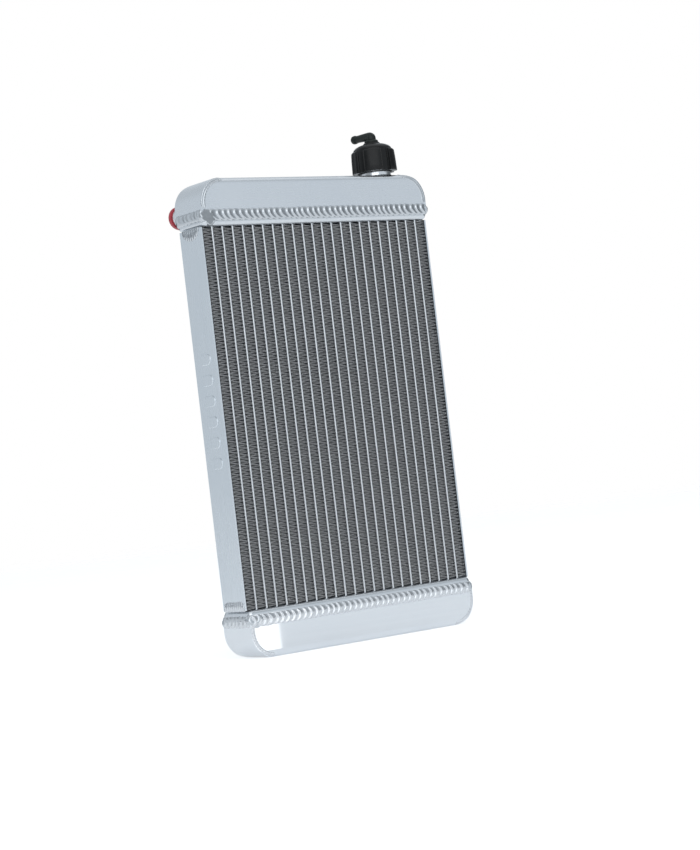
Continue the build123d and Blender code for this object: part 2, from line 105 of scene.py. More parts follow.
ROOM_WALLS = "dde4ea"
DARK_SIDES = (
    # axis, where along it the room starts and stops darkening, strength there
    ("X", 0.66, 0.97, 0.2),
    ("X", -0.8, -0.99, 0.45),
    ("Y", 0.84, 0.99, 0.15),
    ("Z", 0.3, 0.9, 0.6),
)
world = bpy.data.worlds.new("studio_room")
world.use_nodes = True
bpy.context.scene.world = world
room = world.node_tree
room.nodes.clear()
rays = add(room, "ShaderNodeLightPath")
facing = add(room, "ShaderNodeTexCoord")
axes = add(room, "ShaderNodeSeparateXYZ", {0: facing.outputs["Generated"]})
strength = 1.0
for axis, near, far, dark in DARK_SIDES:
    shade = add(
        room, "ShaderNodeMapRange",
        {
            "Value": axes.outputs[axis], "From Min": near, "From Max": far, "To Min": 1.0,
            "To Max": dark,
        },
        interpolation_type="SMOOTHSTEP",
    )
    both = add(room, "ShaderNodeMath", {0: strength, 1: shade.outputs[0]}, operation="MULTIPLY")
    strength = both.outputs[0]
walls = add(room, "ShaderNodeBackground", {"Color": linear(ROOM_WALLS), "Strength": strength})
white = add(room, "ShaderNodeBackground", {"Color": linear("ffffff"), "Strength": 1.0})
seen = add(
    room, "ShaderNodeMixShader",
    {0: rays.outputs["Is Camera Ray"], 1: walls.outputs[0], 2: white.outputs[0]},
)
add(room, "ShaderNodeOutputWorld", {"Surface": seen.outputs[0]})


def softbox(name, place, size, watts):
    """A white rectangular lamp that faces the middle of the core."""
    light = bpy.data.lights.new(name, "AREA")
    light.shape = "RECTANGLE"
    light.size, light.size_y = size
    light.energy = watts
    lamp = bpy.data.objects.new(name, light)
    lamp.location = place
    towards = core_middle - Vector(place)
    lamp.rotation_euler = towards.to_track_quat("-Z", "Y").to_euler()
    bpy.context.scene.collection.objects.link(lamp)


softbox("key_softbox", (-1.3, -1.9, 1.3), (2.4, 2.4), 15)
softbox("top_softbox", (0.1, -0.2, 1.8), (2.4, 1.6), 5)


# ---- Studio: floor ----
# A plain pale paper sheet under the radiator. It is whole up to FLOOR_CLEAR and
# then fades out towards its rim, so no horizon shows, and it glows a little.
FLOOR_RADIUS, FLOOR_CLEAR, FLOOR_GONE = 6.0, 1.4, 5.4
GLOW, GLOW_SEEN = 0.27, 0.5  # towards the radiator, and towards the camera
floor_mesh = bmesh.new()
bmesh.ops.create_circle(floor_mesh, cap_ends=True, segments=96, radius=FLOOR_RADIUS)
floor_data = bpy.data.meshes.new("floor")
floor_mesh.to_mesh(floor_data)
floor_mesh.free()
floor = bpy.data.objects.new("floor", floor_data)
bpy.context.scene.collection.objects.link(floor)

paper = bpy.data.materials.new("floor_paper")
paper.use_nodes = True
tree = paper.node_tree
tree.nodes.clear()
where = add(tree, "ShaderNodeTexCoord")
distance = add(tree, "ShaderNodeVectorMath", {0: where.outputs["Object"]}, operation="LENGTH")
fade = add(
    tree, "ShaderNodeMapRange",
    {"Value": distance.outputs["Value"], "From Min": FLOOR_CLEAR, "From Max": FLOOR_GONE},
    interpolation_type="SMOOTHSTEP",
)
matt = add(tree, "ShaderNodeBsdfDiffuse", {"Color": linear("f7f8f9")})
rays = add(tree, "ShaderNodeLightPath")
glow_strength = add(
    tree, "ShaderNodeMapRange",
    {"Value": rays.outputs["Is Camera Ray"], "To Min": GLOW, "To Max": GLOW_SEEN},
)
glow = add(
    tree, "ShaderNodeEmission", {"Color": linear("ffffff"), "Strength": glow_strength.outputs[0]}
)
lit = add(tree, "ShaderNodeAddShader", {0: matt.outputs[0], 1: glow.outputs[0]})
gone = add(tree, "ShaderNodeBsdfTransparent")
mixed = add(
    tree, "ShaderNodeMixShader",
    {0: fade.outputs["Result"], 1: lit.outputs[0], 2: gone.outputs[0]},
)
add(tree, "ShaderNodeOutputMaterial", {"Surface": mixed.outputs[0]})
floor.data.materials.append(paper)


# ---- Studio: strip light ----
# A small upright lamp in front of the bottom tank's left end. It lights nothing
# and isn't seen itself: it only shows as a white patch mirrored in the tank.
STRIP_LEFT, STRIP_RIGHT, STRIP_BOTTOM, STRIP_TOP = -0.088, -0.0615, 0.0006, 0.038
STRIP_Y = -0.06
STRIP_GLOW = 1.6
strip_mesh = bpy.data.meshes.new("strip_light")
strip_shape = bmesh.new()
bmesh.ops.create_grid(strip_shape, x_segments=1, y_segments=1, size=1)
for vert in strip_shape.verts:
    x = STRIP_LEFT if vert.co.x < 0 else STRIP_RIGHT
    z = STRIP_BOTTOM if vert.co.y < 0 else STRIP_TOP
    vert.co = (x, STRIP_Y, z)
strip_shape.to_mesh(strip_mesh)
strip_shape.free()
strip_light = bpy.data.objects.new("strip_light", strip_mesh)
bpy.context.scene.collection.objects.link(strip_light)
strip_light.visible_camera = False
strip_light.visible_diffuse = False
strip_light.visible_shadow = False
strip_glow = bpy.data.materials.new("strip_glow")
strip_glow.use_nodes = True
strip_glow.node_tree.nodes.clear()
shine = add(
    strip_glow.node_tree, "ShaderNodeEmission",
    {"Color": linear("ffffff"), "Strength": STRIP_GLOW},
)
add(strip_glow.node_tree, "ShaderNodeOutputMaterial", {"Surface": shine.outputs[0]})
strip_mesh.materials.append(strip_glow)


# ---- Tanks and header plates ----
# Rolled aluminium sheet, 2 mm, bent and welded. The mill finish is satin, with
# faint rolling lines along the sheet and cloudy patches where it was wiped. The
# header plates are pressed from the same sheet.
def aluminium(name, colour, shade, roughness, spread, grain, lines, bump, metallic=1.0):
    """Metal whose colour and roughness drift between two values in cloudy patches
    of size grain, with fine lines of size lines along X, Y and Z, all in mm."""
    finish = bpy.data.materials.new(name)
    finish.use_nodes = True
    tree = finish.node_tree
    surface = tree.nodes["Principled BSDF"]
    surface.inputs["Metallic"].default_value = metallic
    where = add(tree, "ShaderNodeTexCoord")
    clouds = add(
        tree, "ShaderNodeTexNoise",
        {"Vector": where.outputs["Object"], "Scale": 1000 / grain, "Detail": 3.0},
    )
    squeeze = add(
        tree, "ShaderNodeMapping",
        {"Vector": where.outputs["Object"], "Scale": [1000 / size for size in lines]},
    )
    rolling = add(
        tree, "ShaderNodeTexNoise", {"Vector": squeeze.outputs[0], "Scale": 1.0, "Detail": 4.0}
    )
    tint = add(
        tree, "ShaderNodeMix",
        {0: clouds.outputs["Fac"], 6: linear(shade), 7: linear(colour)},
        data_type="RGBA",
    )
    both = add(
        tree, "ShaderNodeMath",
        {0: clouds.outputs["Fac"], 1: rolling.outputs["Fac"]},
        operation="ADD",
    )
    rough = add(
        tree, "ShaderNodeMapRange",
        {
            "Value": both.outputs[0], "From Min": 0.6, "From Max": 1.4,
            "To Min": roughness - spread, "To Max": roughness + spread,
        },
    )
    relief = add(
        tree, "ShaderNodeBump",
        {"Height": rolling.outputs["Fac"], "Strength": bump, "Distance": 0.0002},
    )
    tree.links.new(tint.outputs[2], surface.inputs["Base Color"])
    tree.links.new(rough.outputs[0], surface.inputs["Roughness"])
    tree.links.new(relief.outputs[0], surface.inputs["Normal"])
    return finish


def dress(node, finish):
    """Gives a CAD node its finish."""
    nodes[node].data.materials.clear()
    nodes[node].data.materials.append(finish)


# Mill finish: soft wide reflections, drawn out across the rolling lines.
rolled_sheet = aluminium(
    "rolled_sheet", "e1e5e9", "d6dbe1", 0.27, 0.05, 60, (160, 1.2, 1.2), 0.05
)
# Rubbed by the pressing die: a shinier lip, with draw marks along it.
pressed_sheet = aluminium(
    "pressed_sheet", "dde1e5", "d0d5da", 0.22, 0.05, 20, (20, 20, 1.5), 0.06
)
# The bottom tank's sheet is less worn, and mirrors a lamp as a clear patch.
bright_sheet = aluminium(
    "bright_sheet", "e4e8ec", "dadfe4", 0.15, 0.04, 60, (160, 1.2, 1.2), 0.04
)
for tank, finish in (("top", rolled_sheet), ("bottom", bright_sheet)):
    dress(f"{tank}_tank_shell", finish)
    dress(f"{tank}_header_plate", pressed_sheet)


# ---- Side plates ----
# Flat plates of 1.5 mm aluminium sheet, brazed to the outermost fins to close the
# core's ends. The left one has plain pads pressed into it.

# Satin, with the rolling lines upright along the core.
side_sheet = aluminium(
    "side_sheet", "e0e5ea", "d2d9df", 0.26, 0.06, 35, (1.2, 1.2, 120), 0.07
)
dress("left_side_plate", side_sheet)
dress("right_side_plate", side_sheet)


# ---- Coolant tubes ----
# Extruded flat aluminium tubes with a web inside. Their ends sit in slots in the
# header plates, and the furnace brazes them there.

# Brazing leaves them bright, with a slight bloom.
extruded_tube = aluminium(
    "extruded_tube", "dadde0", "cccfd3", 0.3, 0.08, 4, (1, 1, 8), 0.1
)
tube_names = sorted(n for n in nodes if n.startswith("coolant_tube"))
for name in tube_names:
    dress(name, extruded_tube)


# ---- Cooling fins ----
# Thin aluminium foil folded back and forth and brazed between the tubes, with
# two groups of tilted louvres cut into each leg of the folds.

# The furnace turns the foil a dull dark grey, so it is only partly metallic.
fin_foil = aluminium("fin_foil", "cfcfd0", "aaabac", 0.5, 0.08, 3, (2, 2, 2), 0.05, 0.3)
FIN_WAVE = 0.003
FOIL = 0.0002
CREST_RADIUS, CREST_STEPS = 0.0004, 4
LOUVRES, LOUVRE_TILT = 5, 24  # in each group, and in degrees
EDGE_MARGIN, MIDDLE_MARGIN, CREST_MARGIN = 0.0016, 0.0024, 0.0006
END_GAP, SLACK = 0.0004, 0.0006  # between a column's ends and the header plates
SCATTER = 0.618  # the share of the slack by which each column stands higher than the last


def to_piece(name, shape, finish, body=None, smooth=35):
    """Makes a bmesh a finished piece, which rides on a body if one is given."""
    mesh = bpy.data.meshes.new(name)
    shape.to_mesh(mesh)
    shape.free()
    mesh.materials.append(finish)
    mesh.shade_smooth()
    mesh.set_sharp_from_angle(angle=math.radians(smooth))
    piece = bpy.data.objects.new(name, mesh)
    bpy.context.scene.collection.objects.link(piece)
    if body:
        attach(piece, body)
    return piece


def flat(shape, place, length, width):
    """One flat rectangle, length along X and width along Y of the matrix place."""
    size = Matrix.Diagonal((length, width, 1, 1))
    bmesh.ops.create_grid(
        shape, x_segments=1, y_segments=1, size=0.5, matrix=place @ size
    )


fin_low, fin_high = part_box("cooling_fins")
lower_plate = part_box("bottom_header_plate")[1].z + END_GAP
upper_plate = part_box("top_header_plate")[0].z - END_GAP
waves = round((upper_plate - lower_plate) / FIN_WAVE)
wave = (upper_plate - lower_plate - SLACK) / waves
tube_low, tube_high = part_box(tube_names[0])
next_low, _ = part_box(tube_names[1])
tube_pitch = next_low.x - tube_low.x
gap = tube_pitch - (tube_high.x - tube_low.x)
depth = fin_high.y - fin_low.y
leg_rise = wave / 2 - 2 * CREST_RADIUS
leg_span = gap - FOIL - 2 * CREST_RADIUS
leg_length = math.hypot(leg_span, leg_rise)
leg_slope = math.atan2(leg_rise, leg_span)
inside = leg_length - 2 * CREST_MARGIN
louvre_width = (depth - 2 * EDGE_MARGIN - MIDDLE_MARGIN) / 2 / LOUVRES

fin = bmesh.new()
for direction, height in ((1, wave / 4), (-1, wave * 3 / 4)):
    middle = Matrix.Translation((0, 0, height))
    leg = middle @ Matrix.Rotation(-leg_slope * direction, 4, "Y")
    for end in (-1, 1):
        along = end * (leg_length - CREST_MARGIN) / 2
        flat(fin, leg @ Matrix.Translation((along, 0, 0)), CREST_MARGIN, depth)
        edge = end * (depth - EDGE_MARGIN) / 2
        flat(fin, leg @ Matrix.Translation((0, edge, 0)), inside, EDGE_MARGIN)
        for index in range(LOUVRES):
            y = end * (MIDDLE_MARGIN / 2 + (index + 0.5) * louvre_width)
            tilt = Matrix.Rotation(math.radians(LOUVRE_TILT) * end, 4, "X")
            louvre = leg @ Matrix.Translation((0, y, 0)) @ tilt
            flat(fin, louvre, inside, louvre_width)
    flat(fin, leg, inside, MIDDLE_MARGIN)
    # The crest at this leg's upper end: an edge spun half round.
    x, low = direction * leg_span / 2, height + leg_rise / 2
    ends = [fin.verts.new((x, y, low)) for y in (-depth / 2, depth / 2)]
    bmesh.ops.spin(
        fin,
        geom=[*ends, fin.edges.new(ends)],
        cent=(x, 0, low + CREST_RADIUS),
        axis=(0, -direction, 0),
        angle=math.pi,
        steps=CREST_STEPS,
    )
bmesh.ops.remove_doubles(fin, verts=fin.verts, dist=1e-6)
bmesh.ops.recalc_face_normals(fin, faces=fin.faces)
bmesh.ops.solidify(fin, geom=fin.faces, thickness=FOIL)
one_wave = [*fin.verts, *fin.edges, *fin.faces]
for index in range(1, waves):
    copy = bmesh.ops.duplicate(fin, geom=one_wave)["geom"]
    verts = [part for part in copy if isinstance(part, bmesh.types.BMVert)]
    bmesh.ops.translate(fin, verts=verts, vec=(0, 0, index * wave))
for index in range(len(tube_names) + 1):
    column = fin.copy()
    x = tube_low.x - gap / 2 + index * tube_pitch
    lift = lower_plate + SLACK * (index * SCATTER % 1)
    bmesh.ops.translate(column, verts=column.verts, vec=(x, 0, lift))
    piece = to_piece(f"fin_strip_{index + 1:02d}", column, fin_foil, "radiator", 20)
    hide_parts("cooling_fins")
fin.free()


# ---- Tank end strips ----
# A strip of the tank's 2 mm aluminium sheet closes each end, bent to a quarter
# circle and welded in. Its edges are hammered down over the tank's rounded ones.
SHEET, TANK_BEND = 0.002, 0.006
STRIP_STEPS, STRIP_LAYERS = 32, 6


def hammer(shape, crown, turn):
    """Brings what stands at a tank's walls in over its rounded edge, which ends at
    height crown. turn is 1 for an upper edge and -1 for a lower one."""
    for vert in shape.verts:
        over = min(TANK_BEND, turn * (vert.co.z - crown) + TANK_BEND)
        if over > 0:
            inward = TANK_BEND - math.sqrt(TANK_BEND ** 2 - over ** 2)
            vert.co.y -= math.copysign(min(inward, abs(vert.co.y)), vert.co.y)


for tank, turn, finish in (("top", 1, rolled_sheet), ("bottom", -1, bright_sheet)):
    low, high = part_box(f"{tank}_tank_right_end")
    crown, foot = (high.z, low.z) if turn > 0 else (low.z, high.z)
    bend_radius = high.x - low.x
    layers = [bend_radius - SHEET * i / STRIP_LAYERS for i in range(STRIP_LAYERS + 1)]
    for side, end in (("right", 1), ("left", -1)):
        centre = Vector((end * low.x, 0, crown - turn * bend_radius))
        strip = bmesh.new()
        rim = [strip.verts.new(centre + Vector((end * r, high.y, 0))) for r in layers]
        rim += [strip.verts.new(centre + Vector((end * r, low.y, 0))) for r in layers[::-1]]
        edges = [strip.edges.new(pair) for pair in zip(rim, rim[1:] + rim[:1])]
        bmesh.ops.spin(
            strip, geom=[*rim, *edges], cent=centre, axis=(0, -end * turn, 0),
            angle=math.pi / 2, steps=STRIP_STEPS,
        )
        straight = bmesh.ops.extrude_edge_only(strip, edges=edges)["geom"]
        moved = [part for part in straight if isinstance(part, bmesh.types.BMVert)]
        bmesh.ops.translate(strip, verts=moved, vec=(0, 0, foot - centre.z))
        bmesh.ops.holes_fill(strip, edges=strip.edges)
        bmesh.ops.recalc_face_normals(strip, faces=strip.faces)
        hammer(strip, crown, turn)
        piece = to_piece(f"{tank}_{side}_end_strip", strip, finish, "radiator", 30)
        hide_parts(f"{tank}_tank_{side}_end")


# ---- Header welds ----
# A wide bead laid by hand all round each joint between header plate and tank:
# overlapping pools, like a row of fallen coins, each frozen before the next. Its
# upper front left corner was ground flat to clear a bracket.

# Bright where the metal froze, with a fine frost that blurs what it mirrors.
weld_metal = aluminium(
    "weld_metal", "d6dade", "bec3c8", 0.25, 0.07, 6, (1.5, 1.5, 1.5), 0.1
)
# The bottom tank's welds take a paler copy of the weld metal, painted lighter for the brighter
# light down there, and a little duller.
weld_painted_lit = aluminium(
    "weld_painted_lit", "e4e7ea", "cfd3d8", 0.29, 0.07, 6, (1.5, 1.5, 1.5), 0.1
)
# A ground face has coarse scratches that run across it, and a darker colour that paints the dark
# reflection it shows.
ground_facet_painted_dark = aluminium(
    "ground_facet_painted_dark", "a6aaae", "808488", 0.34, 0.08, 1.6, (0.4, 3, 3), 0.6
)
BEAD_STEP, BEAD_ROWS = 0.00035, 16  # a bead's mesh, along and across
POOL_FRONT, POOL_TAIL = 0.24, 1.2  # where a pool's front edge ends, how hollow its tail is
POOL_DRIFT, POOL_SWELL = 0.22, 0.07  # how far pools stray, and widen the bead
DOME = 2.4  # how square the bead stands
EDGE_DIP, END_DIP = 0.00025, 0.0003  # how deep the bead's edges and ends sink in
GROUND_NORMAL = (-0.2, -0.98, -0.03)
GROUND_GAP = 0.0001  # between the planes of a bead and a lump, so that they don't flicker


def arc(centre, radius, across, along, start, end):
    """Points on an arc from start to end degrees, each with its radial direction."""
    count = max(6, round(math.radians(abs(end - start)) * radius / BEAD_STEP))
    across, along, points = Vector(across), Vector(along), []
    for index in range(count):
        angle = math.radians(start + (end - start) * index / count)
        radial = across * math.cos(angle) + along * math.sin(angle)
        points.append((Vector(centre) + radial * radius, radial))
    return points


def line(start, end, radial):
    """Points on a straight line, each with the same radial direction."""
    start, end = Vector(start), Vector(end)
    count = max(2, round((end - start).length / BEAD_STEP))
    return [(start.lerp(end, i / count), Vector(radial)) for i in range(count)]


def around_box(corner_x, corner_y, rounding, z):
    """Once round a box with round corners, at height z."""
    x, y = corner_x - rounding, corner_y - rounding
    middles = [Vector((*place, z)) for place in ((x, -y), (x, y), (-x, y), (-x, -y))]
    outwards = [Vector(way) for way in ((1, 0, 0), (0, 1, 0), (-1, 0, 0), (0, -1, 0))]
    points = []
    for index, (middle, out) in enumerate(zip(middles, outwards)):
        start = index * 90 - 90
        following = middles[(index + 1) % 4]
        points += arc(middle, rounding, (1, 0, 0), (0, 1, 0), start, start + 90)
        points += line(middle + out * rounding, following + out * rounding, out)
    return points


def grind(shape, point, normal):
    """Flattens what stands past a plane and gives it the second material."""
    point, normal = Vector(point), Vector(normal).normalized()
    bmesh.ops.bisect_plane(
        shape, geom=[*shape.verts, *shape.edges, *shape.faces], plane_co=point,
        plane_no=normal,
    )
    cut = set()
    for vert in shape.verts:
        over = (vert.co - point).dot(normal)
        if over > -1e-7:
            vert.co -= normal * over
            cut.add(vert)
    for face in shape.faces:
        if all(vert in cut for vert in face.verts):
            face.material_index = 1
    rim = [
        edge for edge in shape.edges
        if len({face.material_index for face in edge.link_faces}) == 2
    ]
    bmesh.ops.split_edges(shape, edges=rim)


def wander(way, length, seed, closed):
    """A bead's slow unevenness along its way. On a closed bead it meets itself."""
    if closed:
        turn = way / length * math.tau
        return noise.noise(Vector((math.cos(turn) * 9, math.sin(turn) * 9, seed)))
    return noise.noise(Vector((way % length * 90, seed, 0)))


def pool_height(behind):
    """How high a pool stands, from its front edge at 0 to the end of its tail at 1."""
    if behind < POOL_FRONT:
        climb = behind / POOL_FRONT
        return climb * climb * (3 - 2 * climb)
    return ((1 - behind) / (1 - POOL_FRONT)) ** POOL_TAIL


def rounded(share):
    """A quarter circle that rises from 0 to 1, and stays there."""
    return 1.0 if share >= 1 else max(0.0, 1 - (1 - share) ** 2) ** 0.5


def lay_bead(
    name, path, axis, lean, width, proud, ripple, node, closed=False, bow=0.45, skew=0.0,
    depth=0.5, calm=1.0, taper=0.0, groove=0.0, hang=False, ground=None, bend=None,
):
    """A weld bead. It faces the path's radial direction, leant by so many degrees
    towards axis. ripple is the pools' spacing, bow how round their edges are, skew
    how they slant, depth how deep the valleys between them are, and calm the share
    of that depth on the left end. taper is how long the thin ends are, and groove
    how deep the bead's middle is. A hanging bead lies all on one side of its path.
    ground is the point and normal of a plane that cuts it, and bend the crown and
    turn of a tank whose rounded edge it follows."""
    axis, lean = Vector(axis), math.radians(lean)
    count = len(path) + (1 if closed else 0)
    bead = bmesh.new()
    bmesh.ops.create_grid(bead, x_segments=count - 1, y_segments=BEAD_ROWS, size=1)
    travelled = [0.0]
    for index in range(1, count):
        here, before = path[index % len(path)][0], path[index - 1][0]
        travelled.append(travelled[-1] + (here - before).length)
    length = travelled[-1]
    pools = max(1, round(length / ripple))
    seed = sum(map(ord, name)) * 0.37  # each bead is uneven in its own way
    for vert in bead.verts:
        index = round((vert.co.x + 1) / 2 * (count - 1))
        side = vert.co.y
        way = travelled[index]
        point, radial = path[index % len(path)]
        out = radial * math.cos(lean) + axis * math.sin(lean)
        across = axis * math.cos(lean) - radial * math.sin(lean)
        swing = wander(way, length, seed, closed)
        pool = way / length * pools + bow * (1 - side * side) + skew * side
        behind = (pool + POOL_DRIFT * swing) % 1
        valley = depth
        if closed:
            # Pools overlap towards -X, except on the left end, laid the other way.
            if radial.x < -0.7:
                behind = 1 - behind
            calmed = min(1, max(0, (-radial.x - 0.2) / 0.5))
            valley *= 1 - (1 - calm) * calmed
        ridge = pool_height(behind)
        thin = rounded(min(way, length - way) / taper) if taper else 1.0
        dome = max(0.0, 1 - abs(side) ** DOME) ** 0.5
        crown = 1 - groove * math.exp(-((side / 0.22) ** 2))
        height = proud * dome * crown * (1 - valley + valley * ridge) * (0.4 + 0.6 * thin)
        height += proud * 0.06 * swing - EDGE_DIP * abs(side) ** 6
        swell = 1 - POOL_SWELL + POOL_SWELL * ridge + 0.05 * swing
        half = width / 2 * swell * (0.15 + 0.85 * thin)
        offset = (side - 1 if hang else side) * half
        vert.co = point + out * (height if thin else -END_DIP) + across * offset
    bmesh.ops.remove_doubles(bead, verts=bead.verts, dist=1e-6)
    if bend:
        hammer(bead, *bend)
    if ground:
        grind(bead, *ground)
    # Beads on the bottom tank take the weld metal painted paler for the brighter light there.
    finish = weld_painted_lit if name.startswith("bottom") else weld_metal
    piece = to_piece(name, bead, finish, "radiator", 180)
    piece.data.materials.append(ground_facet_painted_dark)
    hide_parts(node)


HEADER_BEAD, HEADER_POOL, HEADER_ROUNDING = 0.0104, 0.0057, 0.0045
low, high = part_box("top_header_plate")
ground_point = Vector((-high.x, -high.y - 0.0002, high.z + 0.002))
bead_ground = (ground_point + Vector((0, GROUND_GAP, 0)), GROUND_NORMAL)
HEADER_BEADS = (
    # tank, up or down, how proud, skew, depth, calm, ground plane
    ("top", 1, 0.0021, 0.4, 0.5, 0.3, bead_ground),
    ("bottom", -1, 0.001785, 0.1, 0.6, 0.8, None),
)
for tank, turn, proud, skew, pool_depth, calm, ground in HEADER_BEADS:
    ring_low, ring_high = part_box(f"{tank}_header_weld")
    ring_z = (ring_low.z + ring_high.z) / 2
    low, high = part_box(f"{tank}_header_plate")
    lay_bead(
        f"{tank}_header_bead", around_box(high.x, high.y, HEADER_ROUNDING, ring_z),
        (0, 0, turn), 0, HEADER_BEAD, proud, HEADER_POOL, f"{tank}_header_weld",
        closed=True, bow=0.6 * turn, skew=skew, depth=pool_depth, calm=calm, ground=ground,
    )


# ---- Tank seam welds ----
# Narrow beads where the curved end strips meet the front and back walls. They
# run from the header weld round the end strip's bend. On the top tank they were
# ground almost smooth, and the right-hand front ones were sanded down.
SEAM_INSET, SEAM_POOL, SEAM_ENDS, SEAM_REACH = 0.0021, 0.0028, 0.002, 88
SEAM_PROUD, SANDED_PROUD = 0.00095, 0.0003
SEAMS = (
    # tank, up or down, width, distance from the header plate, depth, groove
    ("top", 1, 0.0042, 0.0076, 0.06, 0.75),
    ("bottom", -1, 0.0034, 0.0055, 0.65, 0.25),
)
for tank, turn, width, start, pool_depth, groove in SEAMS:
    low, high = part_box(f"{tank}_tank_right_end")
    crown, foot = (high.z, low.z) if turn > 0 else (low.z, high.z)
    bend_radius = high.x - low.x
    reach = bend_radius - SEAM_INSET
    for side, end in (("left", -1), ("right", 1)):
        for face, wall in (("front", -1), ("back", 1)):
            centre = Vector((end * low.x, wall * high.y, crown - turn * bend_radius))
            upper = centre + Vector((end * reach, 0, 0))
            lower = Vector((upper.x, upper.y, foot + turn * start))
            path = line(lower, upper, (end, 0, 0))
            path += arc(centre, reach, (end, 0, 0), (0, 0, turn), 0, SEAM_REACH)
            sanded = side == "right" and face == "front"
            lay_bead(
                f"{tank}_{side}_{face}_seam", path, (0, wall, 0), 90, width,
                SANDED_PROUD if sanded else SEAM_PROUD, SEAM_POOL,
                f"{tank}_tank_seam_welds", bow=0.35, depth=pool_depth,
                taper=SEAM_ENDS, groove=groove, bend=(crown, turn),
            )


# ---- Joints across the top tank ----
# The same weld runs on over the tank's flat top from one rounded edge to the
# other, where it was filled and sanded almost flush.
JOINT_BEAD, JOINT_START = 0.0034, 25
for side, end in (("left", -1), ("right", 1)):
    low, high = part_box("top_tank_right_end")
    x, inner_y, bend_z = end * low.x, high.y - TANK_BEND, high.z - TANK_BEND
    path = arc((x, -inner_y, bend_z), TANK_BEND, (0, -1, 0), (0, 0, 1), JOINT_START, 90)
    path += line((x, -inner_y, high.z), (x, inner_y, high.z), (0, 0, 1))
    path += arc((x, inner_y, bend_z), TANK_BEND, (0, 1, 0), (0, 0, 1), 90, JOINT_START)
    lay_bead(
        f"top_{side}_top_joint", path, (1, 0, 0), 0, JOINT_BEAD, SANDED_PROUD, SEAM_POOL,
        "top_tank_seam_welds", bow=0.3, depth=0.25, taper=SEAM_ENDS,
    )


# ---- Side plate welds ----
# A short fat weld under each end of a header plate ties the side plate to it.
# The metal sagged down the side plate while it was molten.
SIDE_WELDS = (
    # tank, up or down, half length, drop, length of the thin ends
    ("top", 1, 0.0125, 0.0105, 0.0125),
    ("bottom", -1, 0.015, 0.0085, 0.005),
)
SIDE_PROUD, SIDE_POOL, SIDE_SINK = 0.0014, 0.0031, 0.0006
plate_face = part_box("right_side_plate")[1].x - SIDE_SINK
for tank, turn, half, drop, ends in SIDE_WELDS:
    low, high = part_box(f"{tank}_header_plate")
    level = (low.z if turn > 0 else high.z) + turn * SIDE_SINK
    for side, end in (("left", -1), ("right", 1)):
        start = Vector((end * plate_face, -half, level))
        stop = Vector((end * plate_face, half, level))
        lay_bead(
            f"{tank}_{side}_side_weld", line(start, stop, (end, 0, 0)), (0, 0, turn), 0,
            drop, SIDE_PROUD, SIDE_POOL, "side_plate_welds", bow=0.3, depth=0.6,
            taper=ends, hang=True,
        )


# ---- Round welds ----
# Fillet welds that fix the hose stubs and the mounting bosses to the tanks' back
# walls, and the filler neck to the flat top of the top tank.
STUB_WELD = (0.0096, 0.0034, 0.0011, 0.0031)  # radius, width, how proud, pools' spacing
BOSS_WELD = (0.0087, 0.003, 0.0009, 0.0027)
NECK_WELD = (0.0142, 0.0026, 0.0007, 0.0024)
BOSS_RADIUS = 0.008


def round_weld(name, centre, axis, sizes, node):
    """A fillet weld once round an axis, halfway between it and the wall."""
    radius, width, proud, ripple = sizes
    axis, first = Vector(axis), Vector((1, 0, 0))
    path = arc(centre, radius, first, axis.cross(first), 0, 360)
    lay_bead(name, path, axis, 45, width, proud, ripple, node, closed=True, bow=0.35)


wall_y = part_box("top_tank_shell")[1].y
for stub in ("inlet", "outlet"):
    low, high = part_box(f"{stub}_stub")
    middle = (low + high) / 2
    foot = (middle.x, wall_y, middle.z)
    round_weld(f"{stub}_stub_bead", foot, (0, 1, 0), STUB_WELD, "stub_welds")
low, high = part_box("mounting_bosses")
boss_places = [
    (x, wall_y, z)
    for x in (low.x + BOSS_RADIUS, high.x - BOSS_RADIUS)
    for z in (low.z + BOSS_RADIUS, high.z - BOSS_RADIUS)
]
for index, place in enumerate(boss_places):
    round_weld(f"boss_bead_{index + 1}", place, (0, 1, 0), BOSS_WELD, "mounting_boss_welds")
low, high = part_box("filler_neck_weld")
neck_foot = Vector(((low.x + high.x) / 2, 0, low.z))
round_weld("filler_neck_bead", neck_foot, (0, 0, 1), NECK_WELD, "filler_neck_weld")


# ---- Corner lumps ----
# Where the header weld turns a corner the welder stopped, which leaves a lump of
# weld metal. The one at the upper front left was ground flat, and the one at the
# lower front left still has its crater.
UPPER, LOWER = (0.0034, 0.0035, 0.0022), (0.0034, 0.0035, 0.0020)
DAB = (0.0055, 0.0055, 0.0060)
LUMPS = (
    # corner, inset from the header plate's corner and height past it, half sizes, unevenness
    ("top_left_front", (0.0056, 0.0058, 0.0002), (0.0046, 0.0080, 0.0074), 0.02),
    ("top_right_front", UPPER, DAB, 0.2),
    ("top_left_back", UPPER, DAB, 0.2),
    ("top_right_back", UPPER, (0.0055, 0.0055, 0.0064), 0.2),
    ("bottom_left_front", (0.0062, 0.0034, 0.0018), (0.0080, 0.0056, 0.0070), 0.1),
    ("bottom_right_front", LOWER, DAB, 0.2),
    ("bottom_left_back", LOWER, DAB, 0.2),
    ("bottom_right_back", LOWER, DAB, 0.2),
)
GROUND_TWIST = 35
CRATER_MIDDLE = Vector((-0.25, -0.95, 0.25)).normalized()
CRATER_WIDTH, CRATER_DEPTH = 0.42, 0.5  # shares of the lump's half size
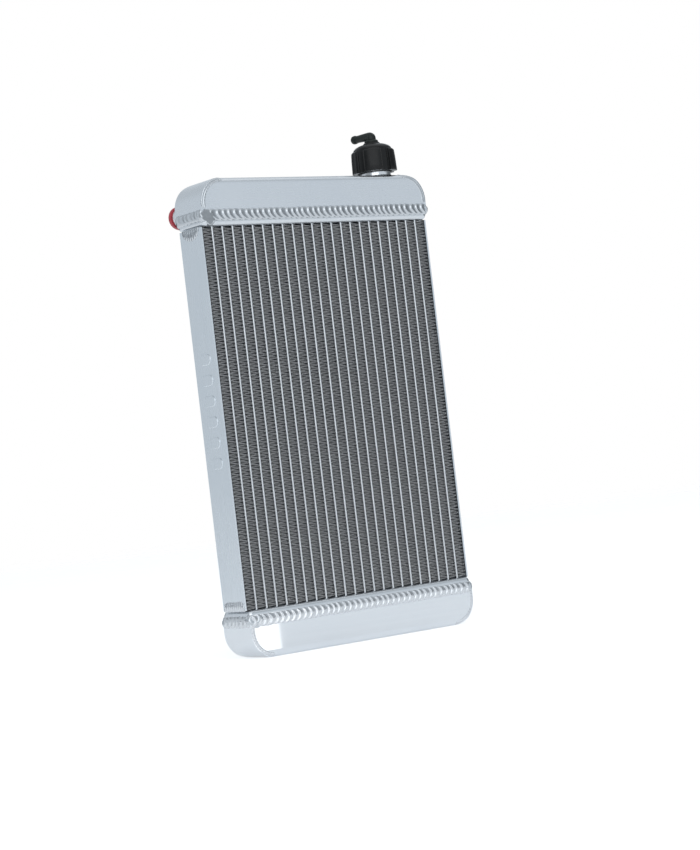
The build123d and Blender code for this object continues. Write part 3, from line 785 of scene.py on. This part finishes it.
for index, (corner, inset, halves, uneven) in enumerate(LUMPS):
    tank, side, face = corner.split("_")
    low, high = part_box(f"{tank}_header_plate")
    place = Vector((
        (high.x - inset[0]) * (1 if side == "right" else -1),
        (high.y - inset[1]) * (1 if face == "back" else -1),
        high.z + inset[2] if tank == "top" else low.z - inset[2],
    ))
    lump = bmesh.new()
    bmesh.ops.create_icosphere(lump, subdivisions=5, radius=1)
    for vert in lump.verts:
        swell = noise.noise(vert.co * 1.6 + Vector((index * 7.1, 0, 0)))
        size = 1 - uneven * 0.5 + uneven * swell
        if corner == "bottom_left_front":
            away = (vert.co - CRATER_MIDDLE).length / CRATER_WIDTH
            size -= CRATER_DEPTH * math.exp(-away * away)
        x, y, z = vert.co * size
        if corner == "top_left_front":
            # A squarish block all round, before it is ground.
            square = 1 / (x ** 4 + y ** 4 + z ** 4) ** 0.25
            z *= square
        else:
            # Squarer than a ball seen from above, like the corner it fills.
            flatness = (abs(vert.co.x) ** 3 + abs(vert.co.y) ** 3) ** (1 / 3)
            square = 1 if flatness < 1e-6 else math.hypot(vert.co.x, vert.co.y) / flatness
        vert.co = (x * square * halves[0], y * square * halves[1], z * halves[2])
    if corner == "top_left_front":
        twist = Matrix.Rotation(math.radians(-GROUND_TWIST), 3, "Y")
        bmesh.ops.rotate(lump, verts=lump.verts, matrix=twist)
    bmesh.ops.translate(lump, verts=lump.verts, vec=place)
    if corner == "top_left_front":
        grind(lump, ground_point, GROUND_NORMAL)
    piece = to_piece(f"{corner}_lump", lump, weld_metal, "radiator", 180)
    piece.data.materials.append(ground_facet_painted_dark)
    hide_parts(f"{tank}_header_weld")


# ---- Hose stubs ----
# Turned aluminium tube. The thick foot sits in a hole in the tank's wall and is
# welded round, and a hose goes over the outside.

# The lathe tool left fine rings, so it gleams in short streaks along the tube.
turned_metal = aluminium(
    "turned_metal", "e2e5e8", "d3d7da", 0.2, 0.06, 15, (6, 0.25, 6), 0.25
)
dress("inlet_stub", turned_metal)
dress("outlet_stub", turned_metal)


# ---- Mounting bosses ----
# Turned aluminium studs with a tapped M8 hole, welded to the backs of the tanks
# for the screws of a bracket.
BOSS_LENGTH, BOSS_EDGE, BOSS_CHAMFER = 0.010, 0.0006, 0.0074
HOLE_CORE, HOLE_ROOT, HOLE_FLOOR, DRILL_POINT = 0.0034, 0.00398, 0.0016, 0.0004
THREAD_PITCH, THREAD_TURNS, THREAD_STEPS = 0.00125, 6, 30


def lathe(shape, profile, steps=64, closed=False):
    """Spins points (radius, height) round Z into a skin."""
    verts = [shape.verts.new((radius, 0, height)) for radius, height in profile]
    pairs = list(zip(verts, verts[1:] + verts[:1] if closed else verts[1:]))
    edges = [shape.edges.new(pair) for pair in pairs]
    bmesh.ops.spin(
        shape, geom=[*verts, *edges], cent=(0, 0, 0), axis=(0, 0, 1), dvec=(0, 0, 0),
        angle=math.tau, steps=steps, use_merge=True,
    )
    bmesh.ops.remove_doubles(shape, verts=shape.verts, dist=1e-6)


for index, place in enumerate(boss_places):
    boss = bmesh.new()
    # The tapped hole: one notch of thread, spun and raised turn by turn.
    notch = [
        boss.verts.new((radius, 0, HOLE_FLOOR + height))
        for radius, height in (
            (HOLE_CORE, 0), (HOLE_ROOT, THREAD_PITCH / 2), (HOLE_CORE, THREAD_PITCH)
        )
    ]
    edges = [boss.edges.new(notch[:2]), boss.edges.new(notch[1:])]
    bmesh.ops.spin(
        boss, geom=[*notch, *edges], cent=(0, 0, 0), axis=(0, 0, 1),
        dvec=(0, 0, THREAD_PITCH / THREAD_STEPS), angle=math.tau * THREAD_TURNS,
        steps=THREAD_STEPS * THREAD_TURNS,
    )
    lathe(boss, [
        (0, DRILL_POINT), (HOLE_CORE, HOLE_FLOOR),
        (HOLE_ROOT + 0.0001, HOLE_FLOOR + 0.0002),
    ])
    lathe(boss, [
        (HOLE_CORE, BOSS_LENGTH - 0.0014), (HOLE_ROOT + 0.0004, BOSS_LENGTH),
        (BOSS_CHAMFER, BOSS_LENGTH), (BOSS_CHAMFER + 0.0004, BOSS_LENGTH - 0.0002),
        (BOSS_RADIUS, BOSS_LENGTH - BOSS_EDGE), (BOSS_RADIUS, 0), (0, 0),
    ])
    bmesh.ops.recalc_face_normals(boss, faces=boss.faces)
    laid_back = Matrix.Translation(place) @ Matrix.Rotation(math.radians(-90), 4, "X")
    bmesh.ops.transform(boss, matrix=laid_back, verts=boss.verts)
    piece = to_piece(f"mounting_boss_{index + 1}", boss, turned_metal, "radiator", 30)
    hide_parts("mounting_bosses")


# ---- Dust plugs ----
# Moulded hollow in soft red vinyl, with two sealing ribs round the shank, and
# pushed into the stubs until a hose is fitted.

# Vinyl glows a little inside, and its moulded grain softens the gloss.
red_vinyl = bpy.data.materials.new("red_vinyl")
red_vinyl.use_nodes = True
tree = red_vinyl.node_tree
surface = tree.nodes["Principled BSDF"]
where = add(tree, "ShaderNodeTexCoord")
clouds = add(tree, "ShaderNodeTexNoise", {"Vector": where.outputs["Object"], "Scale": 300.0})
tint = add(
    tree, "ShaderNodeMix",
    {0: clouds.outputs["Fac"], 6: linear("a5303c"), 7: linear("bc3d49")},
    data_type="RGBA",
)
grain = add(tree, "ShaderNodeTexNoise", {"Vector": where.outputs["Object"], "Scale": 2500.0})
relief = add(
    tree, "ShaderNodeBump", {"Height": grain.outputs["Fac"], "Strength": 0.15, "Distance": 0.0001}
)
tree.links.new(tint.outputs[2], surface.inputs["Base Color"])
tree.links.new(relief.outputs[0], surface.inputs["Normal"])
surface.inputs["Roughness"].default_value = 0.36
surface.inputs["Subsurface Weight"].default_value = 0.12
surface.inputs["Subsurface Scale"].default_value = 0.002
PLUG_HEAD, PLUG_THICK, PLUG_HOLLOW = 0.00975, 0.0045, 0.005
PLUG_SHANK, PLUG_TIP, PLUG_REACH, PLUG_FLOOR = 0.00665, 0.0064, 0.012, -0.010
PLUG_RIBS = (-0.0078, -0.0048)
for stub in ("inlet", "outlet"):
    low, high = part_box(f"{stub}_stub")
    middle = (low + high) / 2
    plug = bmesh.new()
    ribs = []
    for rib in PLUG_RIBS:
        ribs += [
            (PLUG_SHANK, rib - 0.0004), (PLUG_SHANK + 0.0002, rib), (PLUG_SHANK, rib + 0.0004)
        ]
    lathe(plug, [
        (0, -PLUG_REACH), (PLUG_TIP - 0.0008, -PLUG_REACH),
        (PLUG_TIP - 0.0002, -PLUG_REACH + 0.0003), (PLUG_TIP, -PLUG_REACH + 0.0009),
        *ribs,
        (PLUG_SHANK, 0), (PLUG_HEAD - 0.0005, 0), (PLUG_HEAD - 0.0001, 0.0002),
        (PLUG_HEAD, 0.0006), (PLUG_HEAD, PLUG_THICK - 0.0014),
        (PLUG_HEAD - 0.0002, PLUG_THICK - 0.0008), (PLUG_HEAD - 0.0007, PLUG_THICK - 0.0002),
        (PLUG_HEAD - 0.0014, PLUG_THICK), (PLUG_HOLLOW + 0.0006, PLUG_THICK),
        (PLUG_HOLLOW + 0.0001, PLUG_THICK - 0.0003), (PLUG_HOLLOW, PLUG_THICK - 0.0009),
        (PLUG_HOLLOW - 0.0004, PLUG_FLOOR + 0.0004), (PLUG_HOLLOW - 0.0010, PLUG_FLOOR),
        (0, PLUG_FLOOR),
    ], 96)
    bmesh.ops.recalc_face_normals(plug, faces=plug.faces)
    stub_end = Matrix.Translation((middle.x, high.y, middle.z))
    laid_back = stub_end @ Matrix.Rotation(math.radians(-90), 4, "X")
    bmesh.ops.transform(plug, matrix=laid_back, verts=plug.verts)
    piece = to_piece(f"{stub}_plug", plug, red_vinyl, f"{stub}_plug", 32)
    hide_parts(f"{stub}_dust_plug")


# ---- Filler neck ----
# Turned from aluminium bar and welded into the top tank: the cap's coarse screw
# thread outside, and the pressure valve's seat inside.
NECK_CORE, NECK_CREST, NECK_BORE, SEAT_BORE = 0.0136, 0.0146, 0.0110, 0.0090
NECK_TOP, SEAT_TOP, NECK_FOOT = 0.0215, 0.0120, -0.002
CAP_PITCH, RIDGE_LOW, RIDGE_FOOT, RIDGE_TURNS, RIDGE_STEPS = 0.004, 0.0068, 0.0132, 2.6, 72
RUN_OUT = 0.125  # the share of a turn over which the thread fades in and out
neck = bmesh.new()
lathe(neck, [
    (SEAT_BORE, NECK_FOOT), (NECK_BORE - 0.0001, NECK_FOOT), (NECK_BORE - 0.0001, 0),
    (NECK_CORE, 0), (NECK_CORE, NECK_TOP - 0.0006), (NECK_CORE - 0.0002, NECK_TOP - 0.0002),
    (NECK_CORE - 0.0006, NECK_TOP), (NECK_BORE + 0.0004, NECK_TOP),
    (NECK_BORE, NECK_TOP - 0.0004), (NECK_BORE, SEAT_TOP), (SEAT_BORE + 0.0005, SEAT_TOP),
    (SEAT_BORE, SEAT_TOP - 0.0004),
], 128, True)
turned_part = set(neck.verts)
ridge = [
    neck.verts.new((radius, 0, RIDGE_LOW + height))
    for radius, height in (
        (RIDGE_FOOT, 0), (NECK_CORE, 0.0001), (NECK_CREST - 0.0001, 0.0007),
        (NECK_CREST, 0.0008), (NECK_CREST, 0.0012), (NECK_CREST - 0.0001, 0.0013),
        (NECK_CORE, 0.0019), (RIDGE_FOOT, 0.0020),
    )
]
edges = [neck.edges.new(pair) for pair in zip(ridge, ridge[1:])]
bmesh.ops.spin(
    neck, geom=[*ridge, *edges], cent=(0, 0, 0), axis=(0, 0, 1),
    dvec=(0, 0, CAP_PITCH / RIDGE_STEPS), angle=math.tau * RIDGE_TURNS,
    steps=round(RIDGE_STEPS * RIDGE_TURNS),
)
for vert in set(neck.verts) - turned_part:
    radius = math.hypot(vert.co.x, vert.co.y)
    rise = (vert.co.z - RIDGE_LOW - 0.001) / CAP_PITCH
    full = min(1, max(0, min(rise, RIDGE_TURNS - rise)) / RUN_OUT)
    lowered = RIDGE_FOOT + (radius - RIDGE_FOOT) * full
    vert.co.x *= lowered / radius
    vert.co.y *= lowered / radius
bmesh.ops.recalc_face_normals(neck, faces=neck.faces)
bmesh.ops.translate(neck, verts=neck.verts, vec=neck_foot)
# Finer turning than the stubs', so it mirrors more clearly, with rings round it.
neck_metal = aluminium("neck_metal", "e4e6e9", "d5d8db", 0.13, 0.04, 15, (8, 8, 0.3), 0.2)
piece = to_piece("filler_neck_turned", neck, neck_metal, "radiator", 30)
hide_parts("filler_neck")


# ---- Cap ----
# Moulded in black glass-filled nylon, with five broad grip lobes and a low boss
# on its dome for the elbow. It screws down over the neck.
def moulded(name, colour, shade, roughness, grain, gloss=0.5):
    """Black plastic with a fine moulded grain, in mm, and slightly cloudy gloss."""
    finish = bpy.data.materials.new(name)
    finish.use_nodes = True
    tree = finish.node_tree
    surface = tree.nodes["Principled BSDF"]
    where = add(tree, "ShaderNodeTexCoord")
    clouds = add(tree, "ShaderNodeTexNoise", {"Vector": where.outputs["Object"], "Scale": 180.0})
    fine = add(
        tree, "ShaderNodeTexNoise",
        {"Vector": where.outputs["Object"], "Scale": 1000 / grain, "Detail": 2.0},
    )
    tint = add(
        tree, "ShaderNodeMix",
        {0: clouds.outputs["Fac"], 6: linear(shade), 7: linear(colour)},
        data_type="RGBA",
    )
    rough = add(
        tree, "ShaderNodeMapRange",
        {
            "Value": clouds.outputs["Fac"], "From Min": 0.3, "From Max": 0.7,
            "To Min": roughness - 0.05, "To Max": roughness + 0.05,
        },
    )
    relief = add(
        tree, "ShaderNodeBump",
        {"Height": fine.outputs["Fac"], "Strength": 0.25, "Distance": 0.0001},
    )
    tree.links.new(tint.outputs[2], surface.inputs["Base Color"])
    tree.links.new(rough.outputs[0], surface.inputs["Roughness"])
    tree.links.new(relief.outputs[0], surface.inputs["Normal"])
    surface.inputs["Specular IOR Level"].default_value = gloss
    return finish


# Glass-filled nylon is deep black, and its fine grain gives a soft gloss.
black_nylon = moulded("black_nylon", "0c0d0e", "08090a", 0.3, 0.35, 0.3)
CAP_BORE, CAP_BODY, CAP_CEILING, SPIGOT_HOLE, BOSS_TOP = 0.0150, 0.0175, 0.0205, 0.0036, 0.0263
LOBE_LOW, LOBE_HIGH, LOBE_TOP = 0.0195, 0.0189, 0.0193  # radii at foot and top, and height
LOBES, LOBE_SPAN, LOBE_FIRST, LOBE_FLANK = 5, 46, -129.5, 1.6  # how many, and degrees
LOBE_UPPER, LOBE_LOWER, LOBE_SHRINK = 0.0014, 0.0006, 0.28  # the rounding of their edges
GROOVE_DEPTH, GROOVE_AWAY, GROOVE_WIDTH = 0.0004, 2, 1.3  # beside each flank, in degrees
cap_profile = [
    (SPIGOT_HOLE, CAP_CEILING), (CAP_BORE - 0.0006, CAP_CEILING),
    (CAP_BORE, CAP_CEILING - 0.0006), (CAP_BORE, 0.0006), (CAP_BORE + 0.0003, 0.0001),
    (CAP_BORE + 0.0006, 0), (CAP_BODY - 0.0005, 0), (CAP_BODY - 0.0001, 0.0002),
    (CAP_BODY, 0.0006), (CAP_BODY, 0.006), (CAP_BODY, 0.012), (CAP_BODY - 0.0002, 0.0174),
    (CAP_BODY - 0.0003, 0.0182), (CAP_BODY - 0.0004, 0.0187), (CAP_BODY - 0.0005, 0.0191),
    (CAP_BODY - 0.0006, 0.0193), (CAP_BODY - 0.0007, 0.0198), (CAP_BODY - 0.0011, 0.0207),
    (CAP_BODY - 0.0018, 0.0216), (CAP_BODY - 0.0030, 0.0226), (CAP_BODY - 0.0050, 0.0236),
    (CAP_BODY - 0.0070, 0.0243), (0.0088, 0.0247), (0.0079, 0.0248), (0.0075, 0.0250),
    (0.0073, 0.0254), (0.0071, 0.0259), (0.0069, 0.0262), (0.0066, BOSS_TOP),
    (SPIGOT_HOLE + 0.0002, BOSS_TOP), (SPIGOT_HOLE, BOSS_TOP - 0.0002),
]
cap = bmesh.new()
lathe(cap, cap_profile, 360, True)
for vert in cap.verts:
    radius, height = math.hypot(vert.co.x, vert.co.y), vert.co.z
    if height > LOBE_TOP - 1e-5 or radius < CAP_BODY - 0.0008:
        continue
    around = math.degrees(math.atan2(vert.co.y, vert.co.x))
    away = abs((around - LOBE_FIRST + 180 / LOBES) % (360 / LOBES) - 180 / LOBES)
    flank = min(1, max(0, (LOBE_SPAN / 2 + LOBE_FLANK / 2 - away) / LOBE_FLANK))
    flank = flank * flank * (3 - 2 * flank)
    beside = (away - LOBE_SPAN / 2 - GROOVE_AWAY) / GROOVE_WIDTH
    crown = LOBE_LOW + (LOBE_HIGH - LOBE_LOW) * height / LOBE_TOP
    upper = rounded((LOBE_TOP - height) / LOBE_UPPER)
    lower = 1 - LOBE_SHRINK + LOBE_SHRINK * rounded(height / LOBE_LOWER)
    pushed = radius + (crown - CAP_BODY) * flank * upper * lower
    pushed -= GROOVE_DEPTH * math.exp(-beside * beside) * upper
    vert.co.x *= pushed / radius
    vert.co.y *= pushed / radius
bmesh.ops.recalc_face_normals(cap, faces=cap.faces)
cap_foot = (neck_foot.x, 0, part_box("cap_shell")[0].z)
bmesh.ops.translate(cap, verts=cap.verts, vec=cap_foot)
piece = to_piece("cap_moulding", cap, black_nylon, "cap", 42)
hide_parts("cap_shell")


# ---- Overflow elbow ----
# One nylon moulding: a spigot with an O-ring groove that turns in the cap's boss,
# a collar, a bend, and a barbed arm for the overflow hose.

# The same plastic as the cap's, greener and duller from a coarser mould.
elbow_nylon = moulded("elbow_nylon", "111c18", "0c1411", 0.4, 0.5, 0.35)
ELBOW_AZIMUTH, ELBOW_FOOT, ELBOW_SIDES = 103, 0.0309, 48
SPIGOT, RING_GROOVE, GROOVE_LOW, GROOVE_HIGH = 0.00355, 0.0024, -0.00395, -0.00285
COLLAR, STAND_TUBE, BEND, BEND_STEPS = 0.0060, 0.0043, 0.0018, 8
ARM_RISE, ARM_START, ARM_REACH, ARM_BORE = 0.0059, 0.0060, 0.0205, 0.0016
ARM_TUBE, ARM_WAIST, BARB = 0.0036, 0.0032, 0.0037
elbow_foot = neck_foot + Vector((0, 0, ELBOW_FOOT))
spigot_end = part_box("overflow_elbow")[0].z - elbow_foot.z
elbow = bmesh.new()
lathe(elbow, [
    (0, spigot_end), (SPIGOT - 0.00025, spigot_end), (SPIGOT, spigot_end + 0.0003),
    (SPIGOT, GROOVE_LOW), (RING_GROOVE, GROOVE_LOW), (RING_GROOVE, GROOVE_HIGH),
    (SPIGOT, GROOVE_HIGH), (SPIGOT, 0), (COLLAR - 0.0003, 0), (COLLAR, 0.0003),
    (COLLAR, 0.0012), (COLLAR - 0.0002, 0.0016), (COLLAR - 0.0006, 0.0020),
    (COLLAR - 0.0010, 0.0023), (COLLAR - 0.0015, 0.0025), (COLLAR - 0.0018, 0.0028),
    (COLLAR - 0.0019, 0.0034), (0, 0.0036),
], 72)
# The bent tube: rings round its middle line, each with its reach and height, its
# slope in degrees and its radius.
stations = [(0, ARM_RISE - BEND - 0.0012, 0, STAND_TUBE)]
for index in range(BEND_STEPS + 1):
    slope = 90 * index / BEND_STEPS
    angle = math.radians(slope)
    reach, rise = BEND * (1 - math.cos(angle)), ARM_RISE - BEND + BEND * math.sin(angle)
    radius = STAND_TUBE + (ARM_TUBE - STAND_TUBE) * math.sin(angle) ** 2
    stations.append((reach, rise, slope, radius))
for reach, radius in (
    (ARM_START, 0.0035), (0.0090, 0.0034), (0.0130, ARM_WAIST), (0.0158, ARM_WAIST),
    (0.0161, 0.0033), (0.0167, 0.0036), (0.0170, BARB), (0.0184, BARB), (0.0191, 0.0036),
    (0.0199, 0.0033), (0.0203, 0.0030), (ARM_REACH, 0.0026), (ARM_REACH, 0.0018),
    (0.0203, ARM_BORE), (ARM_START, ARM_BORE), (ARM_START, 0.00001),
):
    stations.append((reach, ARM_RISE, 90, radius))
last = len(stations) - 1
bent = bmesh.new()
bmesh.ops.create_grid(bent, x_segments=last, y_segments=ELBOW_SIDES, size=1)
for vert in bent.verts:
    reach, rise, slope, radius = stations[round((vert.co.x + 1) / 2 * last)]
    slope, angle = math.radians(slope), (vert.co.y + 1) * math.pi
    lift, swing = radius * math.cos(angle), radius * math.sin(angle)
    vert.co = (reach - lift * math.cos(slope), swing, rise + lift * math.sin(slope))
bmesh.ops.remove_doubles(bent, verts=bent.verts, dist=1e-6)
bent_data = bpy.data.meshes.new("elbow_tube")
bent.to_mesh(bent_data)
bent.free()
elbow.from_mesh(bent_data)
bmesh.ops.recalc_face_normals(elbow, faces=elbow.faces)
aim = Matrix.Translation(elbow_foot) @ Matrix.Rotation(math.radians(ELBOW_AZIMUTH), 4, "Z")
bmesh.ops.transform(elbow, matrix=aim, verts=elbow.verts)
piece = to_piece("elbow_moulding", elbow, elbow_nylon, "elbow", 38)
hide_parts("overflow_elbow")


# ---- Valve parts inside the cap ----
# A nylon carrier holds two brass valve discs over the neck's seat. Rubber rings
# seal the cap, the pressure valve and the elbow.
def plain(name, colour, shade, roughness, metallic, grain):
    """A finish like the plastic's in other colours, for rubber or for smooth metal."""
    finish = moulded(name, colour, shade, roughness, grain)
    surface = finish.node_tree.nodes["Principled BSDF"]
    surface.inputs["Metallic"].default_value = metallic
    return finish


# Rubber is matt and dark grey, and brass has the dull gold of a pressed part.
seal_rubber = plain("seal_rubber", "181818", "101010", 0.62, 0.0, 0.3)
valve_brass = plain("valve_brass", "d8bd7a", "c9a862", 0.28, 1.0, 0.8)
for node, finish in (
    ("cap_insert", black_nylon), ("cap_seal", seal_rubber), ("valve_seal", seal_rubber),
    ("elbow_o_ring", seal_rubber), ("valve_plate", valve_brass),
    ("vacuum_valve", valve_brass),
):
    dress(node, finish)


# ---- Valve springs ----
# Coils of round steel wire. The wide one holds the pressure valve down, and the
# fine one holds the vacuum valve up. Each is as long and as wide as its spring in the CAD model.

# Drawn wire is bright, with a smooth dark shine along it.
spring_wire = plain("spring_wire", "c4c6c8", "b2b4b6", 0.24, 1.0, 0.6)
SPRING_TURNS, SPRING_STEPS, WIRE_SIDES = 4, 48, 14
for node, wire, upper, lower in (
    ("pressure_spring", 0.0012, "cap_carrier", "pressure_valve"),
    ("vacuum_spring", 0.0004, "vacuum_valve", "pressure_valve"),
):
    low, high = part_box(node)
    radius = (high.x - low.x - wire) / 2
    rise = high.z - low.z - wire
    coil = bmesh.new()
    lower_end = Matrix.Translation((radius, 0, wire / 2))
    lower_end @= Matrix.Rotation(math.pi / 2, 4, "X")
    upper_end = Matrix.Translation((0, 0, rise)) @ lower_end
    ring = bmesh.ops.create_circle(
        coil, cap_ends=True, radius=wire / 2, segments=WIRE_SIDES, matrix=lower_end
    )["verts"]
    hoop = {edge for vert in ring for edge in vert.link_edges}
    bmesh.ops.spin(
        coil, geom=[*ring, *hoop], cent=(0, 0, 0), axis=(0, 0, 1),
        dvec=(0, 0, rise / SPRING_TURNS / SPRING_STEPS), angle=math.tau * SPRING_TURNS,
        steps=SPRING_STEPS * SPRING_TURNS,
    )
    bmesh.ops.create_circle(
        coil, cap_ends=True, radius=wire / 2, segments=WIRE_SIDES, matrix=upper_end
    )
    bmesh.ops.remove_doubles(coil, verts=coil.verts, dist=1e-5)
    bmesh.ops.recalc_face_normals(coil, faces=coil.faces)
    bmesh.ops.translate(coil, verts=coil.verts, vec=(neck_foot.x, 0, low.z))
    piece = to_piece(f"{node}_wire", coil, spring_wire, smooth=180)
    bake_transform(piece)
    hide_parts(node)
